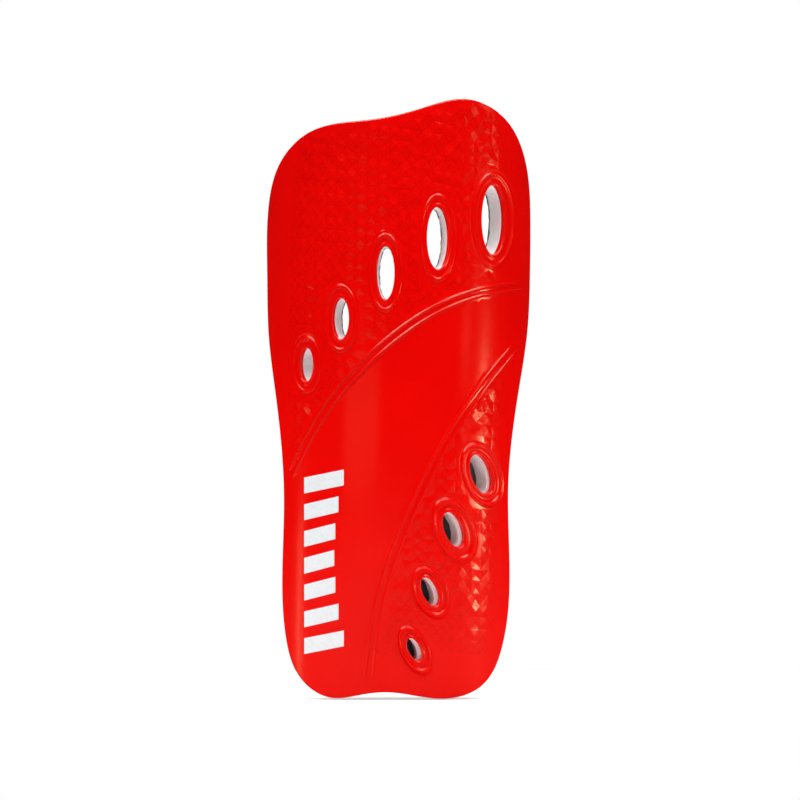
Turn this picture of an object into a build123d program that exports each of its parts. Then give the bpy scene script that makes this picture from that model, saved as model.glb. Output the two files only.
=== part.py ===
from build123d import *

import os

# Slip-in shin guard for the left leg: a hard moulded shell over a bonded foam pad.
#
# Millimetres. +Z runs up the shin and the outside of the guard faces -Y. The origin is
# in the middle of the padded inner side, where the guard sits against the shin bone.
# Every layer is a sheet of one curved skin, and its edges are cut square to that skin.

# Thickness of each layer, from the outside in
SHELL_WALL = 2.0
FOAM_PAD = 5.5
LINING = 0.5
FULL_DEPTH = SHELL_WALL + FOAM_PAD + LINING

# The skin: an arch across the leg, bowed along it
FRONT_DIRECTION = 270.0  # degrees from +X round to -Y
ARCH_RADIUS = 52.0
BOW_RADIUS = 800.0
ARCH_HALF_ANGLE = 80.0  # degrees of arch each side of the crest, before trimming
BOW_HALF_ANGLE = 9.0    # degrees of bow above and below the middle, before trimming
CREST_TWIST = 1.5       # degrees the crest line leans sideways over the ankle
TWIST_LEVEL = 60.0      # height at which the crest line crosses the middle
CUT_BACK = 45.0         # front-view outlines are cut from this far behind ...
CUT_LENGTH = 110.0      # ... and forward by this much

# Outline as seen from the front, clockwise from the high corner: (across, up)
OUTLINE = [
    (25.0, 109.7), (39.5, 102.5), (46.3, 89.5), (48.7, 66.0), (48.5, 44.0), (47.5, 24.0),
    (44.7, 5.0), (40.5, -32.0), (41.0, -68.0), (38.3, -91.0), (31.1, -105.1),
    (19.0, -109.8), (-3.0, -107.5), (-14.0, -108.4), (-25.1, -109.5), (-35.9, -102.9),
    (-41.5, -88.1), (-42.9, -64.0), (-42.3, -35.0), (-45.3, 1.0), (-48.0, 24.0),
    (-48.5, 44.0), (-48.0, 71.0), (-43.8, 86.6), (-33.1, 97.6), (-10.0, 102.1), (9.0, 106.4),
]
PAD_INSET = 0.8         # foam and lining stop this far inside the shell edge

# Vents: (across, up, half width, half height, lean in degrees, rim across, rim up).
# The rim is the raised border round the hole, given by its reach beside and above it.
# The upper five are cut right through; the lower four end on the lining.
UPPER_VENTS = [
    (34.8, 65.4, 4.3, 12.8, 0.0, 3.9, 4.8),
    (14.4, 58.6, 4.0, 11.4, 0.0, 2.8, 4.9),
    (-4.8, 45.9, 3.3, 9.7, 0.0, 2.9, 4.8),
    (-21.2, 29.2, 3.0, 7.5, 0.0, 3.3, 5.2),
    (-33.8, 12.4, 2.5, 6.2, 0.0, 2.9, 4.5),
]
LOWER_VENTS = [
    (30.4, -27.7, 3.7, 7.5, 19.0, 3.3, 4.5),
    (20.2, -47.9, 3.3, 6.7, 22.0, 3.9, 5.6),
    (11.6, -70.6, 2.7, 5.6, 25.0, 3.3, 4.2),
    (5.9, -91.7, 2.2, 4.5, 27.0, 2.8, 5.0),
]
LIP_SHARE = 0.22        # the narrow lip round the hole takes this share of the rim
RING_SHARE = 0.56       # the broad outer ring begins this far out
LIP_HEIGHT = 0.5        # above the shell
RING_HEIGHT = 0.9

# The pairs of ridges that edge the smooth band, from the right side to the left
UPPER_RIDGE = [
    (45.2, 42.9), (34.7, 41.3), (13.8, 34.1), (-7.2, 19.5), (-26.0, -0.7), (-40.5, -27.0),
]
LOWER_RIDGE = [
    (42.6, 20.8), (35.6, 12.5), (19.7, -9.5), (0.4, -47.3), (-9.3, -79.0), (-12.3, -104.0),
]
RIDGE_WIDTH = 1.0
RIDGE_HEIGHT = 0.4
UPPER_PAIR_SHIFT = (1.4, -2.3)   # from the first ridge of a pair to the second
LOWER_PAIR_SHIFT = (2.5, -1.2)

# Plain slanted bars in white transfer film
BAR_COUNT = 7
BAR_HEIGHT = 5.8
BAR_PITCH = 9.8
BAR_LEFT = -34.5
BAR_RISE = 3.0          # how much higher the right end of a bar is
BAR_FIRST_LEVEL = -93.5
BAR_LONG = 14.5
BAR_WAIST = 3.5         # the middle bars are shorter by this much
BAR_FILM = 0.1

OUTWARD = (0, -1, 0)
TOUCH = 0.01            # a face nearer to the skin than this lies on it
PROBE_PLACES = (0.3, 0.7)


def skin(depth):
    """The curved face lying `depth` below the outside of the shell."""
    arch_centre = ARCH_RADIUS - FULL_DEPTH
    bow_axis = Axis((0, BOW_RADIUS - FULL_DEPTH, 0), (1, 0, 0))
    start = FRONT_DIRECTION - ARCH_HALF_ANGLE
    arch = CenterArc((0, arch_centre), ARCH_RADIUS - depth, start, 2 * ARCH_HALF_ANGLE)
    lowered = arch.rotate(bow_axis, BOW_HALF_ANGLE)
    face = Face.revolve(lowered, -2 * BOW_HALF_ANGLE, bow_axis)
    return face.rotate(Axis((0, 0, TWIST_LEVEL), (0, 1, 0)), CREST_TWIST)


def patch(depth, front_view):
    """The part of the skin seen inside a front-view sketch."""
    tool = extrude(Plane.XZ.offset(-CUT_BACK) * front_view, CUT_LENGTH)
    return (skin(depth) & tool).faces()[0]


def raised(front_view, height):
    """A front-view shape standing `height` proud of the shell."""
    return thicken(patch(0, front_view), height, normal_override=OUTWARD)


def sheet(depth, thickness, front_view):
    """A layer whose outer side lies `depth` down."""
    return thicken(patch(depth, front_view), -thickness, normal_override=OUTWARD)


def sunk(point, depth):
    """Where a point of the front view moves when carried `depth` down, square to the skin."""
    across, up = point
    return (across * (1 - depth / ARCH_RADIUS), up * (1 - depth / BOW_RADIUS))


def outline(depth, inset=0.0):
    """The edge of a layer `depth` down, drawn in by `inset`."""
    widest = max(across for across, up in OUTLINE)
    highest = max(up for across, up in OUTLINE)
    points = [
        (across * (1 - inset / widest), up * (1 - inset / highest)) for across, up in OUTLINE
    ]
    return make_face(Spline(*[sunk(point, depth) for point in points], periodic=True))


def vent(numbers, rim_share=0.0, depth=0.0):
    """The ellipse of a vent, grown by a share of its rim and carried `depth` down."""
    across, up, half_width, half_height, lean, rim_across, rim_up = numbers
    width = (half_width + rim_share * rim_across) * (1 - depth / ARCH_RADIUS)
    ellipse = Rot(Z=lean) * Ellipse(width, half_height + rim_share * rim_up)
    return Pos(*sunk((across, up), depth)) * ellipse


def ridges():
    """Two thin parallel ridges along each edge of the smooth band, as patches of skin."""
    patches = []
    for points, shift in ((UPPER_RIDGE, UPPER_PAIR_SHIFT), (LOWER_RIDGE, LOWER_PAIR_SHIFT)):
        first = Spline(*points)
        for line in (first, Pos(*shift) * first):
            patches.append(patch(0, trace(line, RIDGE_WIDTH)))
    return patches


def minus(face, inner_faces):
    """A patch of skin with other patches taken out of its middle."""
    return face.make_holes([inner.outer_wire() for inner in inner_faces])


def relief(face, height):
    """The top and sides of a patch raised above the skin, open underneath."""
    return without_face_on_skin(thicken(face, height, normal_override=OUTWARD))


def outer_shell():
    """One moulding, joined up from the faces that bound it.

    A vent is four nested ellipses on the skin: the hole, the lip round it, then the
    inner and outer edges of the rim's ring, with a flat dish between lip and ring.
    """
    edge = patch(0, outline(0))
    holes = []
    rims = []
    faces = []
    for numbers in UPPER_VENTS + LOWER_VENTS:
        shares = (0, LIP_SHARE, RING_SHARE, 1)
        hole, lip, ring_inner, ring = [patch(0, vent(numbers, share)) for share in shares]
        faces += relief(minus(lip, [hole]), LIP_HEIGHT)
        faces += relief(minus(ring, [ring_inner]), RING_HEIGHT)
        faces.append(minus(ring_inner, [lip]))
        holes.append(hole)
        rims.append(ring)
    lines = ridges()
    for line in lines:
        faces += relief(line, RIDGE_HEIGHT)
    wall = thicken(minus(edge, holes), -SHELL_WALL, normal_override=OUTWARD)
    faces += without_face_on_skin(wall)
    faces.append(minus(edge, rims + lines))
    return Solid(Shell(faces))


def without_face_on_skin(solid):
    """The faces of a layer except the one lying on the outside of the shell."""
    ground = skin(0)
    return [face for face in solid.faces() if not lies_on(face, ground)]


def lies_on(face, ground):
    probes = [face.position_at(u, v) for u in PROBE_PLACES for v in PROBE_PLACES]
    return all(ground.distance_to(Vertex(*probe)) < TOUCH for probe in probes)


def pad_layer(depth, thickness, open_vents):
    vents = [vent(numbers, depth=depth) for numbers in open_vents]
    return sheet(depth, thickness, outline(depth, PAD_INSET) - vents)


def printed_bars():
    """Slanted bars, long at both ends of the row and shorter in its middle."""
    middle = (BAR_COUNT - 1) / 2
    bars = []
    for number in range(BAR_COUNT):
        level = BAR_FIRST_LEVEL + number * BAR_PITCH
        from_end = 1 - ((number - middle) / middle) ** 2
        right = BAR_LEFT + BAR_LONG - BAR_WAIST * from_end
        corners = [
            (BAR_LEFT, level),
            (right, level + BAR_RISE),
            (right, level + BAR_RISE + BAR_HEIGHT),
            (BAR_LEFT, level + BAR_HEIGHT),
        ]
        bars.append(raised(make_face(Polyline(*corners, close=True)), BAR_FILM))
    return Compound(bars)


def main():
    os.makedirs("parts", exist_ok=True)
    parts = {
        "outer_shell": outer_shell(),
        "foam_pad": pad_layer(SHELL_WALL, FOAM_PAD, UPPER_VENTS + LOWER_VENTS),
        "lining_fabric": pad_layer(SHELL_WALL + FOAM_PAD, LINING, UPPER_VENTS),
        "printed_bars": printed_bars(),
    }
    for name, shape in parts.items():
        export_step(shape, f"parts/{name}.step")


main()
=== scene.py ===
from math import cos, pi, radians, sin

import bmesh
import bpy
import numpy as np
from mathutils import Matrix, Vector
from mathutils.geometry import delaunay_2d_cdt


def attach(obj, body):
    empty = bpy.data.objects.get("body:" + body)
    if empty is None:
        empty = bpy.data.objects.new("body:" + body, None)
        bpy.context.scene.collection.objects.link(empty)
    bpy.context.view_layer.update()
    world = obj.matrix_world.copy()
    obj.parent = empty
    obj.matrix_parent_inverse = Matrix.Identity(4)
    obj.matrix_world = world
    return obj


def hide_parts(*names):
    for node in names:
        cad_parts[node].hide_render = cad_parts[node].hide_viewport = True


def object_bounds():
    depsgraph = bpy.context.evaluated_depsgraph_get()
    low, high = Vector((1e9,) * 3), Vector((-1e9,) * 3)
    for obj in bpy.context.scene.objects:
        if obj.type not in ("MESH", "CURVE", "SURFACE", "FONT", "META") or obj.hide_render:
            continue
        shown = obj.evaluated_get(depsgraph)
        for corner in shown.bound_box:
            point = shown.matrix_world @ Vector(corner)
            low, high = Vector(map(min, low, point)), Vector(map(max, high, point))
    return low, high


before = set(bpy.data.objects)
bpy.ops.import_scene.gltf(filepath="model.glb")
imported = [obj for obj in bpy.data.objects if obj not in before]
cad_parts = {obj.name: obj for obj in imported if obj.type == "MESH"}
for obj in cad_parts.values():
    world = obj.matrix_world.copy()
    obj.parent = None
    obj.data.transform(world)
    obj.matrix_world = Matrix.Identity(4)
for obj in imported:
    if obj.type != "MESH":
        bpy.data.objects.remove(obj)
CAD_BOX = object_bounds()

# A slip-in shin guard: a moulded shell, a foam pad and a knit lining, bonded together, with a
# print on the shell. Its surfaces are laid out on the skin, the outer face of the shell, as
# (across the leg, along it, height above the skin), and on_guard bends them into place.
# Lengths are in millimetres until a mesh is made, and then in metres.
MM = 0.001

# Layers, from the outside in
SHELL_WALL = 2.0
FOAM_PAD = 5.5
LINING = 0.5
FULL_DEPTH = SHELL_WALL + FOAM_PAD + LINING
LINING_TOP = SHELL_WALL + FOAM_PAD

# The skin: an arch across the leg, bowed along it, its crest leaning sideways
ARCH_RADIUS = 52.0
BOW_RADIUS = 800.0
CREST_TWIST = radians(1.5)
TWIST_LEVEL = 60.0

# Outline as seen from the front, clockwise from the high corner: (across, up)
OUTLINE = [
    (25.0, 109.7), (39.5, 102.5), (46.3, 89.5), (48.7, 66.0), (48.5, 44.0), (47.5, 24.0),
    (44.7, 5.0), (40.5, -32.0), (41.0, -68.0), (38.3, -91.0), (31.1, -105.1),
    (19.0, -109.8), (-3.0, -107.5), (-14.0, -108.4), (-25.1, -109.5), (-35.9, -102.9),
    (-41.5, -88.1), (-42.9, -64.0), (-42.3, -35.0), (-45.3, 1.0), (-48.0, 24.0),
    (-48.5, 44.0), (-48.0, 71.0), (-43.8, 86.6), (-33.1, 97.6), (-10.0, 102.1), (9.0, 106.4),
]
PAD_INSET = 0.8

# Vents: (across, up, half width, half height, lean in degrees, rim across, rim up)
UPPER_VENTS = [
    (34.8, 65.4, 4.3, 12.8, 0.0, 3.9, 4.8),
    (14.4, 58.6, 4.0, 11.4, 0.0, 2.8, 4.9),
    (-4.8, 45.9, 3.3, 9.7, 0.0, 2.9, 4.8),
    (-21.2, 29.2, 3.0, 7.5, 0.0, 3.3, 5.2),
    (-33.8, 12.4, 2.5, 6.2, 0.0, 2.9, 4.5),
]
LOWER_VENTS = [
    (30.4, -27.7, 3.7, 7.5, 19.0, 3.3, 4.5),
    (20.2, -47.9, 3.3, 6.7, 22.0, 3.9, 5.6),
    (11.6, -70.6, 2.7, 5.6, 25.0, 3.3, 4.2),
    (5.9, -91.7, 2.2, 4.5, 27.0, 2.8, 5.0),
]
VENTS = UPPER_VENTS + LOWER_VENTS
VENT_STEPS = 96
VENT_WALL_DEPTHS = (SHELL_WALL, 1.6, 1.1, 0.7)

# Section through a vent rim: (share of the rim's reach from the hole, height)
RIM_SECTION = [
    (0.0, -0.3), (0.02, -0.02), (0.05, 0.22), (0.09, 0.38), (0.14, 0.44), (0.19, 0.38),
    (0.24, 0.22), (0.3, 0.06), (0.36, 0.0), (0.46, -0.06), (0.58, -0.02), (0.64, 0.12),
    (0.68, 0.36), (0.72, 0.57), (0.77, 0.7), (0.82, 0.74), (0.87, 0.7), (0.91, 0.56),
    (0.94, 0.36), (0.97, 0.12), (0.99, -0.04), (1.02, -0.14), (1.06, -0.16), (1.1, -0.1),
    (1.15, -0.02), (1.2, 0.0),
]
RIM_REACH = RIM_SECTION[-1][0]
UPPER_RIM_HEIGHT = 0.5      # the rims of the upper vents have this share of the height
RIM_SEARCH = (-0.7, 6.0)    # the shares between which rim_share looks
RIM_SEARCH_STEPS = 24

# Two parallel ridges along each edge of the smooth band, from the right to the left
UPPER_RIDGE = [
    (45.2, 42.9), (34.7, 41.3), (13.8, 34.1), (-7.2, 19.5), (-26.0, -0.7), (-40.5, -27.0),
]
LOWER_RIDGE = [
    (42.6, 20.8), (35.6, 12.5), (19.7, -9.5), (0.4, -47.3), (-9.3, -79.0), (-12.3, -104.0),
]
UPPER_PAIR_SHIFT = (1.4, -2.3)
LOWER_PAIR_SHIFT = (2.5, -1.2)
RIDGE_STEP = 1.2
RIDGE_SECTION = [(-0.65, 0.0), (-0.45, 0.1), (-0.22, 0.36), (0.0, 0.43), (0.22, 0.36),
                 (0.45, 0.1), (0.65, 0.0)]
RIDGE_RUN_OUT = 5.0
RIDGE_CLEAR = 1.35          # plain points keep this far from a ridge

# Facets: cells with a raised or sunk centre, folded along their sides and diagonals
CELL_ACROSS = 4.0
CELL_UP = 4.5
CELL_SLANT = -0.12          # the slope of a row of cells, which falls towards the right
CELL_JITTER = 0.32
CENTRE_JITTER = 0.7         # centres are scattered by this share of the corners' jitter
CELLS_SIDEWAYS = 16         # each way from the middle
CELLS_UPWARD = 26
FACET_HEIGHT = 0.25
LEAST_RISE = 0.55           # the lowest centres have this share of the height
FACET_SUNK_SHARE = 0.4
CORNER_HEIGHT = 0.03
FACET_SEED = 11
FACET_CLEAR = 1.3           # plain points keep this far from a fold's ends
LEAST_STRENGTH = 0.03       # facets weaker than this are left out
LEAST_HEIGHT = 0.03         # and lower ones are shaded as plain skin

# Where the facets begin and where they reach full height
RIDGE_MARGIN = (0.9, 2.2)
EDGE_MARGIN = (2.0, 5.0)
RIM_MARGIN = (RIM_REACH - 0.05, RIM_REACH + 0.15)
LOWER_END = (-102.0, -64.0)
SIDE_FADE = (radians(40), radians(50))
UPPER_FIELD_LEVEL = 43.0    # everything above this lies in the upper field

# The shell's rim: a quarter round at the front, and its wall as (inset, depth) from the back
EDGE_ROUND = 0.7
EDGE_ROUND_STEPS = 8
EDGE_WALL = [(0.25, SHELL_WALL), (0.06, SHELL_WALL - 0.1), (0.0, 1.7), (0.0, 1.3)]

# Foam: its cut walls are rougher towards the lining. Behind the lower vents its holes sit to
# the left of those in the shell
FOAM_HOLE_SHIFT = 1.5
FOAM_LAYERS = 9
LAYERS_ALIKE = 3            # this many loops of a wall in a row waver in the same way
FOAM_PINCH = 0.28
FOAM_EDGE_SEED = 100
FOAM_EDGE_WAVES = (61, 83, 127, 149)
FOAM_EDGE_RAGGED = (0.05, 0.06)     # at the shell, and how much more at the lining
FOAM_VENT_SEED = 200
FOAM_VENT_WAVES = (7, 11, 17, 23)
FOAM_VENT_RAGGED = (0.03, 0.16)
SEEDS_APART = 10            # between the seeds of one foam hole and the next

# Lining: its inset from the foam's edge, and how its cut edges waver and are bevelled
LINING_INSET = 0.1
LINING_EDGE_SEED = 300
LINING_EDGE_WAVES = (53, 97, 131, 171)
LINING_VENT_SEED = 310
LINING_VENT_WAVES = (7, 13, 19, 29)
LINING_EDGE_RAGGED = 0.12
LINING_VENT_RAGGED = 0.24
LINING_EDGE_BEVEL = 0.15
LINING_VENT_BEVEL = 0.12

# Printed bars: slanted, stacked up the lower left, shorter towards the middle of the stack
BAR_COUNT = 7
BAR_HEIGHT = 5.8
BAR_PITCH = 9.8
BAR_LEFT = -34.5
BAR_RISE = 3.0
BAR_FIRST_LEVEL = -93.5
BAR_LONG = 14.5
BAR_WAIST = 3.5
BAR_FILM = 0.1
BAR_EDGE_FILM = BAR_FILM * 0.45
BAR_SINK = 0.02
BAR_COLUMNS = 25
BAR_ROWS = 11

# Spacing of the points on the outline and of those that fill the front and the coarser backs
OUTLINE_STEP = 1.0
SMOOTH_STEP = 1.4
COARSE_STEP = 4.0
SMOOTH_MARGIN = SMOOTH_STEP * 0.55
COARSE_MARGIN = COARSE_STEP * 0.5
ROW_SHARE = 0.866           # the height of a triangle with even sides
JOIN_DIGITS = 4             # points that agree to this many digits are one
SAME_POINT = 1e-5
NOT_ZERO = 1e-12
POINTS_AT_ONCE = 4000

# How a face is shaded: smoothly, flat, or flat with a hairline groove along its edges, where
# painted shade darkens the red
PLAIN, FLAT, FOLDED = 0, 1, 2

# Smooth shading breaks where two faces meet at more than this
SHELL_SHARP = radians(38)
PAD_SHARP = radians(40)
FILM_SHARP = radians(60)

# Stitches of the knit and the scene round the guard, in metres
STITCH_WIDE = 0.0011
STITCH_TALL = 0.0009
FLOOR_DROP = 0.0002
FLOOR_RADIUS = 0.42
FLOOR_STEPS = 96
CAMERA_DISTANCE = 4.0
VIEW_HEIGHT = 0.2916        # what the frame spans at the guard
VIEW_SHIFT = 0.0005         # the guard stands this far left of and above the frame's middle
WORLD_GLOW = 0.015          # the world's strength, but for what the camera sees of it

# Light panels: (name, azimuth, elevation, distance, size, power, colour)
WHITE = (1.0, 1.0, 1.0)
WARM = (1.0, 0.8, 0.55)
LIGHTS = [
    ("overhead", 0, 90, 1.6, (1.8, 1.8), 22, WHITE),
    ("key", -50, 55, 1.7, (1.1, 0.9), 19.5, WHITE),
    ("fill", 54, 54, 1.7, (1.1, 0.9), 16, WHITE),
    ("back_fill", 180, 28, 1.6, (1.2, 0.8), 14, WHITE),
    ("front_patch", -27, -1, 1.25, (0.62, 0.20), 0.16, WARM),
    ("left_strip", -80, -11, 1.1, (0.07, 0.22), 0.15, WARM),
    ("right_strip", 78.5, -5, 1.1, (0.09, 0.12), 1.3, WARM),
    ("right_high", 76, 15, 1.1, (0.16, 0.16), 0.13, WARM),
    ("right_patch", 60, 2.5, 1.2, (0.16, 0.07), 0.03, WARM),
]


# ---------------------------------------------------------------- skin coordinates

def on_guard(place):
    """World points, in metres, of (across, along, height) measured on the skin."""
    across, along, height = place[:, 0], place[:, 1], place[:, 2]
    turn = across / ARCH_RADIUS
    bow = along / BOW_RADIUS
    radius = ARCH_RADIUS + height
    reach = BOW_RADIUS - ARCH_RADIUS + radius * np.cos(turn)
    x = radius * np.sin(turn)
    y = BOW_RADIUS - FULL_DEPTH - reach * np.cos(bow)
    z = reach * np.sin(bow) - TWIST_LEVEL
    twisted_x = x * cos(CREST_TWIST) + z * sin(CREST_TWIST)
    twisted_z = z * cos(CREST_TWIST) - x * sin(CREST_TWIST) + TWIST_LEVEL
    return np.stack([twisted_x, y, twisted_z], axis=1) * MM


def from_front(view):
    """Skin (across, along) of points given as seen from the front (across, up)."""
    x, z = view[:, 0], view[:, 1] - TWIST_LEVEL
    flat_x = x * cos(CREST_TWIST) - z * sin(CREST_TWIST)
    flat_z = z * cos(CREST_TWIST) + x * sin(CREST_TWIST) + TWIST_LEVEL
    turn = np.arcsin(flat_x / ARCH_RADIUS)
    reach = BOW_RADIUS - ARCH_RADIUS + ARCH_RADIUS * np.cos(turn)
    bow = np.arcsin(flat_z / reach)
    return np.stack([ARCH_RADIUS * turn, BOW_RADIUS * bow], axis=1)


def to_front(skin):
    """The front view (across, up) of points on the skin."""
    place = np.column_stack([skin, np.zeros(len(skin))])
    return on_guard(place)[:, [0, 2]] / MM


# ---------------------------------------------------------------- curves and distances

def cubic(points, closed, step):
    """A smooth cubic curve through the points, sampled about every `step`."""
    points = np.array(points, float)
    if closed:
        points = np.vstack([points, points[:1]])
    spans = np.linalg.norm(np.diff(points, axis=0), axis=1)
    count = len(points)
    system = np.zeros((count, count))
    target = np.zeros((count, 2))
    rates = np.diff(points, axis=0) / spans[:, None] ** 2
    for k in range(1, count - 1):
        system[k, k - 1 : k + 2] = 1 / spans[k - 1], 2 / spans[k - 1] + 2 / spans[k], 1 / spans[k]
        target[k] = 3 * (rates[k - 1] + rates[k])
    if closed:
        system[0, 0], system[0, -1] = 1, -1
        system[-1, [0, 1]] = 2 / spans[0], 1 / spans[0]
        system[-1, [-2, -1]] += 1 / spans[-1], 2 / spans[-1]
        target[-1] = 3 * (rates[0] + rates[-1])
    else:
        system[0, :2] = 2 / spans[0], 1 / spans[0]
        system[-1, -2:] = 1 / spans[-1], 2 / spans[-1]
        target[0], target[-1] = 3 * rates[0], 3 * rates[-1]
    slopes = np.linalg.solve(system, target)
    pieces = []
    for k, span in enumerate(spans):
        share = np.linspace(0, 1, max(2, round(span / step)), endpoint=False)[:, None]
        keep, gain = (1 + 2 * share) * (1 - share) ** 2, share**2 * (3 - 2 * share)
        start, stop = share * (1 - share) ** 2, share**2 * (share - 1)
        pieces.append(keep * points[k] + gain * points[k + 1]
                      + span * (start * slopes[k] + stop * slopes[k + 1]))
    if not closed:
        pieces.append(points[-1:])
    return np.vstack(pieces)


def normals(line, closed):
    """Unit vectors to the left of a line's direction at each of its points."""
    if closed:
        along = np.roll(line, -1, axis=0) - np.roll(line, 1, axis=0)
    else:
        along = np.gradient(line, axis=0)
    left = np.column_stack([-along[:, 1], along[:, 0]])
    return left / np.linalg.norm(left, axis=1)[:, None]


def distance_to(line, points, closed):
    """How far each point is from a line of straight runs."""
    ends = np.roll(line, -1, axis=0) if closed else line[1:]
    starts = line if closed else line[:-1]
    runs = ends - starts
    lengths = (runs**2).sum(1)
    nearest = np.full(len(points), np.inf)
    for first in range(0, len(points), POINTS_AT_ONCE):
        part = points[first : first + POINTS_AT_ONCE]
        offset = part[:, None, :] - starts[None]
        share = np.clip((offset * runs).sum(2) / lengths, 0, 1)
        gap = offset - share[..., None] * runs
        nearest[first : first + POINTS_AT_ONCE] = np.sqrt((gap**2).sum(2).min(1))
    return nearest


def inside(line, points):
    """Which points lie inside a closed line."""
    found = np.zeros(len(points), bool)
    for (x0, y0), (x1, y1) in zip(line, np.roll(line, -1, axis=0)):
        crosses = (y0 > points[:, 1]) != (y1 > points[:, 1])
        level = x0 + (points[:, 1] - y0) * (x1 - x0) / ((y1 - y0) or NOT_ZERO)
        found ^= crosses & (points[:, 0] < level)
    return found


def smooth(low, high, value):
    """0 below `low` and 1 above `high`, with a soft step between."""
    share = np.clip((value - low) / (high - low), 0, 1)
    return share * share * (3 - 2 * share)


def vent_ring(vent, share):
    """Skin points round a vent, `share` of its rim's reach out from the hole."""
    across, up, half_width, half_height, lean, rim_across, rim_up = vent
    angle = np.arange(VENT_STEPS) * 2 * pi / VENT_STEPS
    x = (half_width + share * rim_across) * np.cos(angle)
    z = (half_height + share * rim_up) * np.sin(angle)
    turn = radians(lean)
    view = np.column_stack([across + x * cos(turn) - z * sin(turn),
                            up + x * sin(turn) + z * cos(turn)])
    return from_front(view)


def rim_share(vent, view):
    """How far out from a vent's hole each front-view point is, as a share of its rim."""
    across, up, half_width, half_height, lean, rim_across, rim_up = vent
    turn = radians(lean)
    x = (view[:, 0] - across) * cos(turn) + (view[:, 1] - up) * sin(turn)
    z = (view[:, 1] - up) * cos(turn) - (view[:, 0] - across) * sin(turn)
    low, high = (np.full(len(view), end) for end in RIM_SEARCH)
    for _ in range(RIM_SEARCH_STEPS):
        middle = (low + high) / 2
        outside = ((x / (half_width + middle * rim_across)) ** 2
                   + (z / (half_height + middle * rim_up)) ** 2) > 1
        low = np.where(outside, middle, low)
        high = np.where(outside, high, middle)
    return low


# ---------------------------------------------------------------- the guard's lines

def inset_outline(amount):
    """The shell's edge on the skin, drawn in by `amount`."""
    return EDGE + normals(EDGE, True) * -amount


def ridge_lines():
    """Skin points along the four ridges, from the uppermost down."""
    lines = []
    for points, shift in ((UPPER_RIDGE, UPPER_PAIR_SHIFT), (LOWER_RIDGE, LOWER_PAIR_SHIFT)):
        first = cubic(points, False, RIDGE_STEP)
        lines.append(from_front(first))
        lines.append(from_front(first + np.array(shift)))
    return lines


EDGE = from_front(cubic(OUTLINE, True, OUTLINE_STEP))
RIDGES = ridge_lines()


def facet_strength(skin):
    """1 where the facets stand at full height, fading to 0 where the shell is smooth."""
    view = to_front(skin)
    upper, lower = RIDGES[0], RIDGES[3]
    upper_view, lower_view = to_front(upper)[::-1], to_front(lower)[::-1]
    above = view[:, 1] - np.interp(view[:, 0], upper_view[:, 0], upper_view[:, 1])
    beyond = view[:, 0] - np.interp(view[:, 1], lower_view[:, 1], lower_view[:, 0])
    in_upper = (above > 0) & (view[:, 0] > upper_view[0, 0])
    in_upper |= view[:, 1] > UPPER_FIELD_LEVEL
    in_lower = (beyond > 0) & (view[:, 1] < lower_view[-1, 1])
    upper_field = smooth(*RIDGE_MARGIN, distance_to(upper, skin, False))
    strength = np.where(in_upper, upper_field, 0)
    fading = smooth(*LOWER_END, view[:, 1])
    lower_field = smooth(*RIDGE_MARGIN, distance_to(lower, skin, False)) * fading
    strength = np.where(in_lower, lower_field, strength)
    strength = strength * smooth(*EDGE_MARGIN, distance_to(EDGE, skin, True))
    round_the_leg = np.abs(skin[:, 0]) / ARCH_RADIUS
    strength = strength * (1 - smooth(*SIDE_FADE, round_the_leg))
    for vent in VENTS:
        strength = strength * smooth(*RIM_MARGIN, rim_share(vent, view))
    return strength


# ---------------------------------------------------------------- meshes

class Sheet:
    """Faces over points (across, along, height) on the skin; matching points are joined."""

    def __init__(self):
        self.places = []
        self.faces = []
        self.shading = []
        self.count = 0

    def add(self, places, faces, shading=None):
        self.places.append(np.asarray(places, float))
        self.faces += [[corner + self.count for corner in face] for face in faces]
        self.shading += [PLAIN] * len(faces) if shading is None else list(shading)
        self.count += len(places)

    def add_strip(self, loops):
        """Quads between neighbouring closed loops, which all have the same number of points."""
        size = len(loops[0])
        faces = []
        for row in range(len(loops) - 1):
            for k in range(size):
                after = (k + 1) % size
                faces.append((row * size + k, row * size + after,
                              (row + 1) * size + after, (row + 1) * size + k))
        self.add(np.vstack(loops), faces)

    def build(self, name, sharp_angle):
        """The Blender object: points joined, bent onto the guard, mapped and shaded."""
        places = np.vstack(self.places)
        _, first, index = np.unique(np.round(places, JOIN_DIGITS), axis=0, return_index=True,
                                    return_inverse=True)
        index = index.ravel()
        kept = places[first]
        faces = [[int(index[corner]) for corner in face] for face in self.faces]
        mesh = bpy.data.meshes.new(name)
        mesh.from_pydata(on_guard(kept).tolist(), [], faces)
        map_skin(mesh, kept)
        self.map_folds(mesh)
        mesh.update()
        tidy_normals(mesh)
        mesh.set_sharp_from_angle(angle=sharp_angle)
        smoothed = [bool(shading == PLAIN) for shading in self.shading]
        mesh.polygons.foreach_set("use_smooth", smoothed)
        obj = bpy.data.objects.new(name, mesh)
        bpy.context.scene.collection.objects.link(obj)
        return obj

    def map_folds(self, mesh):
        """A map on which (x, y, 1 - x - y) falls to 0 at the three edges of each folded facet."""
        shares = np.full((len(mesh.loops), 2), 1 / 3)
        first = 0
        for face, shading in zip(self.faces, self.shading):
            if shading == FOLDED:
                shares[first : first + 3] = (1, 0), (0, 1), (0, 0)
            first += len(face)
        mesh.uv_layers.new(name="fold").data.foreach_set("uv", shares.ravel())


def map_skin(mesh, places):
    """A map of the skin: across and along, in metres."""
    corners = np.zeros(len(mesh.loops), int)
    mesh.loops.foreach_get("vertex_index", corners)
    skin_map = mesh.uv_layers.new(name="skin")
    skin_map.data.foreach_set("uv", (places[corners, :2] * MM).ravel())


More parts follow.
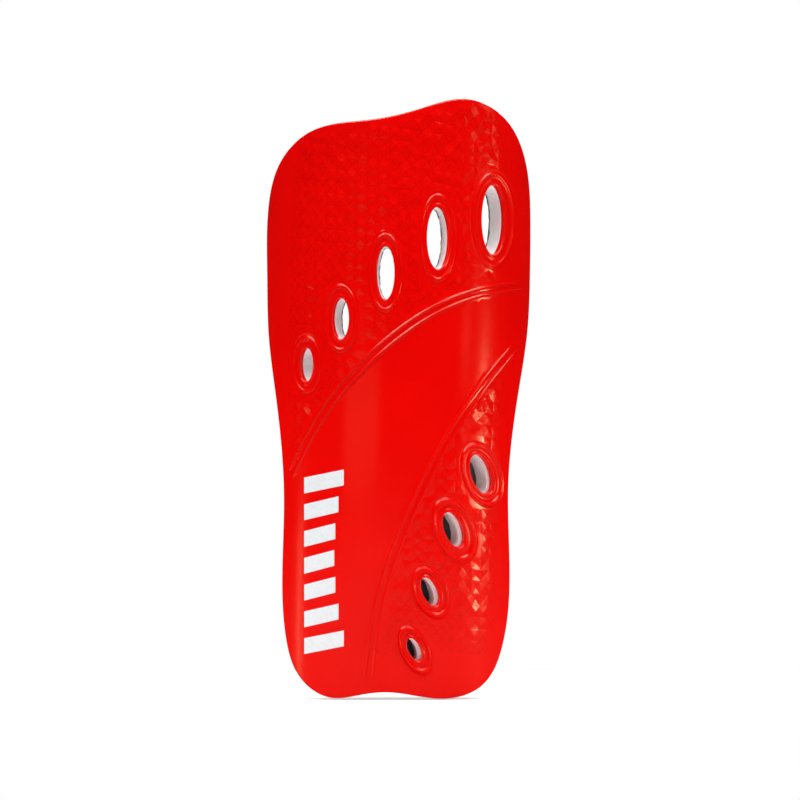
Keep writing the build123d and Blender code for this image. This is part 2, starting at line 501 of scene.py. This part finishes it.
def tidy_normals(mesh):
    """Drops points that no face uses and turns every face outwards."""
    work = bmesh.new()
    work.from_mesh(mesh)
    loose = [vertex for vertex in work.verts if not vertex.link_faces]
    bmesh.ops.delete(work, geom=loose, context="VERTS")
    bmesh.ops.recalc_face_normals(work, faces=work.faces)
    work.to_mesh(mesh)
    work.free()


def at_height(line, height):
    """The places of a line of skin points, all at one height."""
    return np.column_stack([line, np.full(len(line), height)])


def fill_points(loops, step, margin):
    """A triangular grid inside the first loop and outside the others."""
    low, high = loops[0].min(0), loops[0].max(0)
    rows = np.arange(low[1], high[1], step * ROW_SHARE)
    points = []
    for number, level in enumerate(rows):
        start = low[0] + (number % 2) * step / 2
        columns = np.arange(start, high[0], step)
        points.append(np.column_stack([columns, np.full(len(columns), level)]))
    points = np.vstack(points)
    keep = inside(loops[0], points) & (distance_to(loops[0], points, True) > margin)
    for hole in loops[1:]:
        near = (np.abs(points - hole.mean(0)) < np.ptp(hole, axis=0) / 2 + margin + 1).all(1)
        spot = np.where(near)[0]
        bad = inside(hole, points[spot]) | (distance_to(hole, points[spot], True) < margin)
        keep[spot[bad]] = False
    return points[keep]


def triangulate(loops, points, edges):
    """Triangles over the region inside the first loop and outside the others."""
    coords = np.vstack(list(loops) + [points])
    links = []
    start = 0
    for loop in loops:
        size = len(loop)
        links += [(start + k, start + (k + 1) % size) for k in range(size)]
        start += size
    links += [(start + a, start + b) for a, b in edges]
    made = delaunay_2d_cdt([Vector(c) for c in coords.tolist()], links, [], 0, SAME_POINT, True)
    places = np.array([tuple(v) for v in made[0]])
    source = np.array([ids[0] if ids else -1 for ids in made[3]])
    places[source >= 0] = coords[source[source >= 0]]
    triangles = np.array([tuple(f) for f in made[2]])
    middles = places[triangles].mean(1)
    keep = inside(loops[0], middles)
    for hole in loops[1:]:
        keep &= ~inside(hole, middles)
    return places, source - start, triangles[keep]


def facet_lattice():
    """Corners and centres of the folded cells, their heights and the folds between them."""
    random = np.random.default_rng(FACET_SEED)
    columns = np.arange(-CELLS_SIDEWAYS, CELLS_SIDEWAYS + 1)
    rows = np.arange(-CELLS_UPWARD, CELLS_UPWARD + 1)
    shape = (len(columns), len(rows))
    base = np.stack(np.meshgrid(columns, rows, indexing="ij"), axis=-1).astype(float)
    corners = lattice_place(base) + random.uniform(-1, 1, shape + (2,)) * CELL_JITTER
    scatter = random.uniform(-1, 1, shape + (2,)) * CELL_JITTER * CENTRE_JITTER
    centres = lattice_place(base + 0.5) + scatter
    corner_heights = random.uniform(-1, 1, shape) * CORNER_HEIGHT
    raised = np.where(random.random(shape) < FACET_SUNK_SHARE, -1, 1)
    centre_heights = raised * random.uniform(LEAST_RISE, 1, shape) * FACET_HEIGHT
    places = np.vstack([corners.reshape(-1, 2), centres.reshape(-1, 2)])
    heights = np.concatenate([corner_heights.ravel(), centre_heights.ravel()])
    number = np.arange(corners.size // 2).reshape(shape)
    middle = number + number.size
    folds = np.vstack([
        pairs(number[:-1, :], number[1:, :]),
        pairs(number[:, :-1], number[:, 1:]),
        pairs(middle, number),
        pairs(middle[:-1, :], number[1:, :]),
        pairs(middle[:, :-1], number[:, 1:]),
        pairs(middle[:-1, :-1], number[1:, 1:]),
    ])
    strength = facet_strength(places)
    used = (strength > LEAST_STRENGTH) & inside(EDGE, places)
    folds = folds[used[folds].all(1)]
    renumber = np.cumsum(used) - 1
    return places[used], (heights * strength)[used], renumber[folds]


def lattice_place(base):
    """Skin points of (column, row) numbers in the lattice."""
    across = base[..., 0] * CELL_ACROSS
    along = base[..., 1] * CELL_UP + across * CELL_SLANT
    return np.stack([across, along], axis=-1)


def pairs(one, other):
    """Links between the point numbers in one array and those at the same spots in another."""
    return np.column_stack([one.ravel(), other.ravel()])


def ridge_mesh_lines():
    """Parallel lines that carry the section of each ridge, with heights and links."""
    places, heights, links = [], [], []
    count = 0
    for line in RIDGES:
        sideways = normals(line, False)
        spans = np.linalg.norm(np.diff(line, axis=0), axis=1)
        travelled = np.concatenate([[0], np.cumsum(spans)])
        from_end = np.minimum(travelled, travelled[-1] - travelled)
        taper = smooth(0, RIDGE_RUN_OUT, from_end)
        for offset, height in RIDGE_SECTION:
            places.append(line + sideways * offset)
            heights.append(height * taper)
            links += [(count + k, count + k + 1) for k in range(len(line) - 1)]
            count += len(line)
    return np.vstack(places), np.concatenate(heights), links


def ridge_height(places):
    """The ridges' height at any place on the skin."""
    height = np.zeros(len(places))
    for line in RIDGES:
        away = distance_to(line, places, False)
        rise = np.interp(away, *zip(*RIDGE_SECTION[len(RIDGE_SECTION) // 2:]))
        height = np.maximum(height, rise)
    return height


def plain_points(loops, lattice_places):
    """Points that fill the plain skin, clear of the ridges and the facets."""
    points = fill_points(loops, SMOOTH_STEP, SMOOTH_MARGIN)
    clear = facet_strength(points) <= LEAST_STRENGTH
    for line in RIDGES:
        clear &= distance_to(line, points, False) > RIDGE_CLEAR
    points = points[clear]
    gap = np.full(len(points), np.inf)
    for first in range(0, len(points), POINTS_AT_ONCE):
        part = points[first : first + POINTS_AT_ONCE]
        away = np.linalg.norm(part[:, None] - lattice_places[None], axis=2)
        gap[first : first + POINTS_AT_ONCE] = away.min(1)
    return points[gap > FACET_CLEAR]


def shell_front(sheet):
    """The outer side of the shell: ridges, facets and plain skin between the rims."""
    loops = [inset_outline(EDGE_ROUND)] + [vent_ring(vent, RIM_REACH) for vent in VENTS]
    ridge_places, ridge_heights, ridge_links = ridge_mesh_lines()
    lattice_places, lattice_heights, folds = facet_lattice()
    plain = plain_points(loops, lattice_places)
    points = np.vstack([ridge_places, lattice_places, plain])
    heights = np.concatenate([ridge_heights, lattice_heights, np.zeros(len(plain))])
    shift = len(ridge_places)
    links = list(ridge_links) + [(a + shift, b + shift) for a, b in folds]
    places, source, triangles = triangulate(loops, points, links)
    height = np.where(source >= 0, heights[np.clip(source, 0, None)], ridge_height(places))
    on_fold = (source >= shift) & (source < shift + len(lattice_places))
    folded_corners = on_fold[triangles].sum(1)
    shading = np.where(folded_corners == 3, FOLDED, FLAT)
    low = np.abs(height[triangles]).max(1) <= LEAST_HEIGHT
    shading[low | (folded_corners == 0)] = PLAIN
    sheet.add(np.column_stack([places, height]), triangles.tolist(), shading)


def even_face(sheet, loops, depth):
    """A face at one depth, inside the first loop and outside the others."""
    points = fill_points(loops, COARSE_STEP, COARSE_MARGIN)
    places, _, triangles = triangulate(loops, points, [])
    sheet.add(at_height(places, -depth), triangles.tolist())


def shell_moulding():
    """The whole shell: its front, the rims and walls of its vents, its edge and its back."""
    sheet = Sheet()
    shell_front(sheet)
    for vent in VENTS:
        flatten = UPPER_RIM_HEIGHT if vent in UPPER_VENTS else 1.0
        rings = [at_height(vent_ring(vent, share), height * flatten)
                 for share, height in RIM_SECTION]
        wall = [at_height(vent_ring(vent, 0), -depth) for depth in VENT_WALL_DEPTHS]
        sheet.add_strip(wall + rings)
    rounding = []
    for share in np.linspace(0, 1, EDGE_ROUND_STEPS):
        drop = EDGE_ROUND * (1 - (1 - (1 - share) ** 2) ** 0.5)
        rounding.append(at_height(inset_outline(EDGE_ROUND * share), -drop))
    wall = [at_height(inset_outline(inset), -depth) for inset, depth in EDGE_WALL]
    sheet.add_strip(wall + rounding)
    back_edge = inset_outline(EDGE_WALL[0][0])
    even_face(sheet, [back_edge] + [vent_ring(vent, 0) for vent in VENTS], SHELL_WALL)
    return sheet.build("shell_moulding", SHELL_SHARP)


def rough(line, amount, seed, waves):
    """Pushes a closed line in and out a little, as a worn cutting die leaves foam."""
    random = np.random.default_rng(seed)
    size = len(line)
    push = np.zeros(size)
    for count in waves:
        phase = random.uniform(0, 2 * pi)
        push += np.sin(np.arange(size) * 2 * pi * count / size + phase) / len(waves)
    return line + normals(line, True) * (push * amount)[:, None]


def pad_edge(inset):
    """The foam's edge on the skin: the outline drawn in as seen from the front."""
    outline = np.array(OUTLINE)
    shrink = 1 - inset / outline.max(0)
    return from_front(cubic(outline * shrink, True, OUTLINE_STEP))


def foam_wall(ring, ragged, pinch, seed, waves):
    """Loops down a cut wall of the foam. `ragged` gives the roughness at a share of its depth."""
    rows = []
    for number, share in enumerate(np.linspace(0, 1, FOAM_LAYERS)):
        line = rough(ring, ragged(share), seed + number // LAYERS_ALIKE, waves)
        drawn_in = pinch * (2 * share - 1) ** 4
        depth = SHELL_WALL + FOAM_PAD * share
        rows.append(at_height(line - normals(line, True) * drawn_in, -depth))
    return rows


def foam_edge_ragged(share):
    """How far the outer wall wavers at a share of its depth."""
    at_shell, more = FOAM_EDGE_RAGGED
    return at_shell + more * share


def foam_vent_ragged(share):
    """The same for the walls of the holes."""
    at_shell, more = FOAM_VENT_RAGGED
    return at_shell + more * share**2


def foam_sheet():
    """The die-cut pad: ragged walls at its edge and in its holes, between two even faces."""
    sheet = Sheet()
    edge = pad_edge(PAD_INSET)
    walls = [foam_wall(edge, foam_edge_ragged, FOAM_PINCH, FOAM_EDGE_SEED, FOAM_EDGE_WAVES)]
    for index, vent in enumerate(VENTS):
        ring = vent_ring(vent, 0.0)
        if vent in LOWER_VENTS:
            ring = ring - np.array([FOAM_HOLE_SHIFT, 0.0])
        seed = FOAM_VENT_SEED + index * SEEDS_APART
        walls.append(foam_wall(ring, foam_vent_ragged, 0.0, seed, FOAM_VENT_WAVES))
    for wall in walls:
        sheet.add_strip(wall)
    even_face(sheet, [wall[0][:, :2] for wall in walls], SHELL_WALL)
    even_face(sheet, [wall[-1][:, :2] for wall in walls], LINING_TOP)
    return sheet.build("foam_sheet", PAD_SHARP)


def lining_knit():
    """The lining: cut out at the upper vents only, its cut edges bevelled towards the leg."""
    sheet = Sheet()
    edge = pad_edge(PAD_INSET + LINING_INSET)
    loops = [rough(edge, LINING_EDGE_RAGGED, LINING_EDGE_SEED, LINING_EDGE_WAVES)]
    # The lining stays whole behind the lower vents: there its near-black knit is a dark sheet
    # standing in for the shade seen through those vents.
    for index, vent in enumerate(UPPER_VENTS):
        ring = vent_ring(vent, 0.0)
        loops.append(rough(ring, LINING_VENT_RAGGED, LINING_VENT_SEED + index, LINING_VENT_WAVES))
    bevels = [-LINING_EDGE_BEVEL] + [LINING_VENT_BEVEL] * len(UPPER_VENTS)
    skin_side = [loop + normals(loop, True) * bevel for loop, bevel in zip(loops, bevels)]
    middle = (LINING_TOP + FULL_DEPTH) / 2
    for loop, bevelled in zip(loops, skin_side):
        sheet.add_strip([at_height(loop, -LINING_TOP), at_height(loop, -middle),
                         at_height(bevelled, -FULL_DEPTH)])
    even_face(sheet, loops, LINING_TOP)
    even_face(sheet, skin_side, FULL_DEPTH)
    return sheet.build("lining_knit", PAD_SHARP)


def bar_skin(number):
    """Skin points of one slanted bar, row by row."""
    middle = (BAR_COUNT - 1) / 2
    level = BAR_FIRST_LEVEL + number * BAR_PITCH
    from_end = 1 - ((number - middle) / middle) ** 2
    length = BAR_LONG - BAR_WAIST * from_end
    across = np.linspace(0, 1, BAR_COLUMNS)
    grid = []
    for row in np.linspace(0, 1, BAR_ROWS):
        up = level + BAR_RISE * across + BAR_HEIGHT * row
        grid.append(np.column_stack([BAR_LEFT + length * across, up]))
    return from_front(np.vstack(grid))


def printed_bar(number):
    """One bar of film lying on the shell, thinner along its border."""
    skin = bar_skin(number)
    numbers = np.arange(BAR_ROWS * BAR_COLUMNS).reshape(BAR_ROWS, BAR_COLUMNS)
    border = np.concatenate([numbers[0], numbers[1:, -1], numbers[-1, -2::-1], numbers[-2:0:-1, 0]])
    film = np.full(len(skin), BAR_FILM)
    film[border] = BAR_EDGE_FILM
    faces = []
    for corner in numbers[:-1, :-1].ravel().tolist():
        above = corner + BAR_COLUMNS
        faces.append((corner, corner + 1, above + 1, above))
    sheet = Sheet()
    sheet.add(np.column_stack([skin, film]), faces)
    sheet.add(at_height(skin, -BAR_SINK), faces)
    sheet.add_strip([at_height(skin[border], BAR_EDGE_FILM), at_height(skin[border], -BAR_SINK)])
    return sheet.build(f"print_bar_{number + 1}", FILM_SHARP)


# ---------------------------------------------------------------- materials

class Nodes:
    """Short names for building a node tree."""

    def __init__(self, name):
        self.material = bpy.data.materials.new(name)
        self.material.use_nodes = True
        self.tree = self.material.node_tree
        self.shader = self.tree.nodes["Principled BSDF"]

    def add(self, kind, **settings):
        node = self.tree.nodes.new("ShaderNode" + kind)
        for key, value in settings.items():
            setattr(node, key, value)
        return node

    def link(self, output, target):
        self.tree.links.new(output, target)

    def place(self):
        """Where a point is on the object, in metres."""
        return self.add("TexCoord").outputs["Object"]

    def skin(self):
        """Where a point is on the unrolled skin, in metres."""
        return self.add("UVMap", uv_map="skin").outputs["UV"]

    def noise(self, place, scale, detail=3.0, roughness=0.5):
        node = self.add("TexNoise")
        node.inputs["Scale"].default_value = scale
        node.inputs["Detail"].default_value = detail
        node.inputs["Roughness"].default_value = roughness
        self.link(place, node.inputs["Vector"])
        return node.outputs["Fac"]

    def ramp(self, factor, stops):
        """A colour between the stops, each a (factor, colour)."""
        node = self.add("ValToRGB")
        ramp = node.color_ramp
        while len(ramp.elements) < len(stops):
            ramp.elements.new(0.5)
        for element, (position, colour) in zip(ramp.elements, stops):
            element.position = position
            element.color = (*colour, 1)
        self.link(factor, node.inputs["Fac"])
        return node.outputs["Color"]

    def math(self, operation, first, second=None):
        node = self.add("Math", operation=operation)
        for socket, value in zip(node.inputs, (first, second)):
            if isinstance(value, float):
                socket.default_value = value
            elif value is not None:
                self.link(value, socket)
        return node.outputs["Value"]

    def span(self, factor, low, high):
        """A factor from 0 to 1 carried onto a range."""
        node = self.add("MapRange")
        node.inputs["To Min"].default_value = low
        node.inputs["To Max"].default_value = high
        self.link(factor, node.inputs["Value"])
        return node.outputs["Result"]

    def crease(self, sharpness):
        """0 along the folds between facets, rising to 1 close beside them."""
        split = self.add("SeparateXYZ")
        self.link(self.add("UVMap", uv_map="fold").outputs["UV"], split.inputs["Vector"])
        x, y = split.outputs["X"], split.outputs["Y"]
        third = self.math("SUBTRACT", self.math("SUBTRACT", 1.0, x), y)
        nearest = self.math("MINIMUM", self.math("MINIMUM", x, y), third)
        return self.math("MINIMUM", self.math("MULTIPLY", nearest, sharpness), 1.0)

    def bump(self, height, distance, strength=1.0, after=None):
        node = self.add("Bump")
        node.inputs["Strength"].default_value = strength
        node.inputs["Distance"].default_value = distance
        self.link(height, node.inputs["Height"])
        if after is not None:
            self.link(after, node.inputs["Normal"])
        return node.outputs["Normal"]


def red_plastic():
    """Moulded polypropylene: saturated red, half gloss, with a faint grain, creased folds and
    painted shade that darkens the red along the creases.
    """
    n = Nodes("red_plastic")
    place = n.place()
    tone = n.noise(place, scale=28.0)
    colour = n.ramp(tone, [(0.3, (0.80, 0.0006, 0.0002)), (0.7, (0.88, 0.0012, 0.0003))])
    filled = n.span(n.noise(place, scale=380.0, detail=2.0), low=-0.9, high=1.6)
    crease = n.math("MAXIMUM", n.crease(sharpness=8.0), filled)
    # Painted shade: the red is darkened along the folds between the facets, as shade that gathers
    # in the creases.
    painted_crease_shade = n.add("HueSaturation")
    n.link(colour, painted_crease_shade.inputs["Color"])
    n.link(n.span(crease, low=0.84, high=1.0), painted_crease_shade.inputs["Value"])
    n.link(painted_crease_shade.outputs["Color"], n.shader.inputs["Base Color"])
    rub = n.noise(place, scale=420.0, detail=4.0, roughness=0.6)
    n.link(n.span(rub, low=0.14, high=0.20), n.shader.inputs["Roughness"])
    grain = n.noise(place, scale=2600.0, detail=2.0)
    ripple = n.noise(place, scale=160.0, detail=2.0)
    fine = n.bump(grain, distance=0.000012, strength=0.6)
    wavy = n.bump(ripple, distance=0.00006, strength=0.5, after=fine)
    creased = n.bump(crease, distance=0.000014, after=wavy)
    n.link(creased, n.shader.inputs["Normal"])
    n.shader.inputs["IOR"].default_value = 1.49
    n.shader.inputs["Specular IOR Level"].default_value = 0.5
    n.shader.inputs["Specular Tint"].default_value = (1.0, 0.86, 0.68, 1.0)
    return n.material


def foam_material():
    """Die-cut closed-cell foam: off-white, with fine open cells where it is cut."""
    n = Nodes("pale_foam")
    place = n.place()
    tone = n.noise(place, scale=90.0, detail=4.0)
    colour = n.ramp(tone, [(0.3, (0.91, 0.91, 0.92)), (0.7, (0.96, 0.96, 0.96))])
    n.link(colour, n.shader.inputs["Base Color"])
    cells = n.add("TexVoronoi", feature="F1")
    cells.inputs["Scale"].default_value = 2600.0
    n.link(place, cells.inputs["Vector"])
    pitted = n.bump(cells.outputs["Distance"], distance=0.00014, strength=0.8)
    n.link(pitted, n.shader.inputs["Normal"])
    n.shader.inputs["Roughness"].default_value = 0.9
    n.shader.inputs["Subsurface Weight"].default_value = 0.15
    n.shader.inputs["Subsurface Radius"].default_value = (0.001, 0.001, 0.001)
    n.shader.inputs["Subsurface Scale"].default_value = 1.0
    return n.material


def knit_material():
    """Dark knit lining: rows of small V stitches under a soft, patchy nap, with painted shade in
    the low gaps between the stitches.
    """
    n = Nodes("dark_knit")
    skin = n.skin()
    split = n.add("SeparateXYZ")
    n.link(skin, split.inputs["Vector"])
    wale = n.math("MULTIPLY", split.outputs["X"], 1 / STITCH_WIDE)
    from_middle = n.math("ABSOLUTE", n.math("SUBTRACT", n.math("FRACT", wale), 0.5))
    course = n.math("MULTIPLY", split.outputs["Y"], 1 / STITCH_TALL)
    slanted = n.math("ADD", course, n.math("MULTIPLY", from_middle, 1.4))
    leg = n.math("ABSOLUTE", n.math("SUBTRACT", n.math("FRACT", slanted), 0.5))
    stitch = n.math("MULTIPLY", leg, n.math("SUBTRACT", 1.0, from_middle))
    fuzz = n.noise(skin, scale=4200.0, detail=4.0, roughness=0.65)
    nap = n.noise(skin, scale=60.0, detail=4.0, roughness=0.6)
    height = n.math("ADD", stitch, n.math("MULTIPLY", fuzz, 0.4))
    # Painted shade: the colour follows the stitch height, so the low gaps between the stitches are
    # darker; the nap gives the yarn a patchy tone of its own.
    tone = n.math("MULTIPLY", height, n.math("ADD", nap, 0.45))
    colour = n.ramp(tone, [(0.12, (0.003, 0.003, 0.004)), (0.62, (0.085, 0.082, 0.090))])
    n.link(colour, n.shader.inputs["Base Color"])
    n.link(n.bump(height, distance=0.0003), n.shader.inputs["Normal"])
    n.shader.inputs["Roughness"].default_value = 0.92
    n.shader.inputs["Sheen Weight"].default_value = 0.2
    n.shader.inputs["Sheen Roughness"].default_value = 0.5
    return n.material


def print_material():
    """White transfer film, a little uneven where the ink is thin."""
    n = Nodes("white_print")
    place = n.place()
    tone = n.noise(place, scale=700.0, detail=4.0, roughness=0.6)
    colour = n.ramp(tone, [(0.25, (0.76, 0.80, 0.83)), (0.6, (0.84, 0.88, 0.90))])
    n.link(colour, n.shader.inputs["Base Color"])
    n.link(n.span(tone, low=0.38, high=0.52), n.shader.inputs["Roughness"])
    grain = n.noise(place, scale=3000.0, detail=2.0)
    n.link(n.bump(grain, distance=0.00001, strength=0.5), n.shader.inputs["Normal"])
    return n.material


def floor_material():
    """A matt, nearly white table top."""
    n = Nodes("pale_floor")
    place = n.place()
    tone = n.noise(place, scale=3.0, detail=2.0)
    colour = n.ramp(tone, [(0.3, (0.93, 0.93, 0.93)), (0.7, (0.95, 0.95, 0.95))])
    n.link(colour, n.shader.inputs["Base Color"])
    n.shader.inputs["Roughness"].default_value = 0.9
    n.shader.inputs["Specular IOR Level"].default_value = 0.1
    return n.material


# ---------------------------------------------------------------- scene

def add_floor():
    """A round pale table top. It is kept out of the reflections."""
    level = CAD_BOX[0].z - FLOOR_DROP
    turns = [2 * pi * step / FLOOR_STEPS for step in range(FLOOR_STEPS)]
    points = [(FLOOR_RADIUS * cos(turn), FLOOR_RADIUS * sin(turn), level) for turn in turns]
    mesh = bpy.data.meshes.new("floor")
    mesh.from_pydata(points, [], [list(range(FLOOR_STEPS))])
    obj = bpy.data.objects.new("floor", mesh)
    obj.visible_glossy = False
    obj.visible_shadow = False
    bpy.context.scene.collection.objects.link(obj)
    obj.data.materials.append(floor_material())


def aim(obj, target):
    """Turns a light or the camera towards a point."""
    direction = Vector(target) - obj.location
    obj.rotation_euler = direction.to_track_quat("-Z", "Y").to_euler()


def soft_light(name, azimuth, elevation, distance, size, power, colour):
    """A panel seen from the guard at an azimuth, to the right of the camera, and an elevation."""
    turn, lift = radians(azimuth), radians(elevation)
    light = bpy.data.lights.new(name, "AREA")
    light.shape = "RECTANGLE"
    light.size, light.size_y = size
    light.energy = power
    light.color = colour
    obj = bpy.data.objects.new(name, light)
    obj.location = (distance * sin(turn) * cos(lift), -distance * cos(turn) * cos(lift),
                    distance * sin(lift))
    bpy.context.scene.collection.objects.link(obj)
    aim(obj, (0, 0, 0))


def add_world():
    """White where the camera looks past the object, and nearly dark for everything else."""
    world = bpy.data.worlds.new("studio")
    bpy.context.scene.world = world
    world.use_nodes = True
    tree = world.node_tree
    background = tree.nodes["Background"]
    path = tree.nodes.new("ShaderNodeLightPath")
    span = tree.nodes.new("ShaderNodeMapRange")
    span.inputs["To Min"].default_value = WORLD_GLOW
    span.inputs["To Max"].default_value = 1.0
    tree.links.new(path.outputs["Is Camera Ray"], span.inputs["Value"])
    tree.links.new(span.outputs["Result"], background.inputs["Strength"])
    background.inputs["Color"].default_value = (1, 1, 1, 1)


def add_camera():
    """A long lens straight in front of the guard, level with its middle."""
    middle = (CAD_BOX[0] + CAD_BOX[1]) / 2
    data = bpy.data.cameras.new("camera")
    data.sensor_width = 36.0
    data.lens = data.sensor_width * CAMERA_DISTANCE / VIEW_HEIGHT
    obj = bpy.data.objects.new("camera", data)
    across, up = middle.x + VIEW_SHIFT, middle.z - VIEW_SHIFT
    obj.location = (across, CAD_BOX[0].y - CAMERA_DISTANCE, up)
    bpy.context.scene.collection.objects.link(obj)
    aim(obj, (across, 0, up))
    bpy.context.scene.camera = obj


def finish_piece(obj, node, material):
    """Gives a piece its material and puts it in the place of its CAD node."""
    obj.data.materials.append(material)
    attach(obj, "root")
    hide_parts(node)


def main():
    finish_piece(shell_moulding(), "outer_shell", red_plastic())
    foam = foam_sheet()
    finish_piece(foam, "foam_pad", foam_material())
    lining = lining_knit()
    finish_piece(lining, "lining_fabric", knit_material())
    film = print_material()
    for number in range(BAR_COUNT):
        finish_piece(printed_bar(number), "printed_bars", film)
    add_floor()
    for panel in LIGHTS:
        soft_light(*panel)
    add_world()
    add_camera()
    bpy.context.scene.view_settings.view_transform = "Standard"


main()
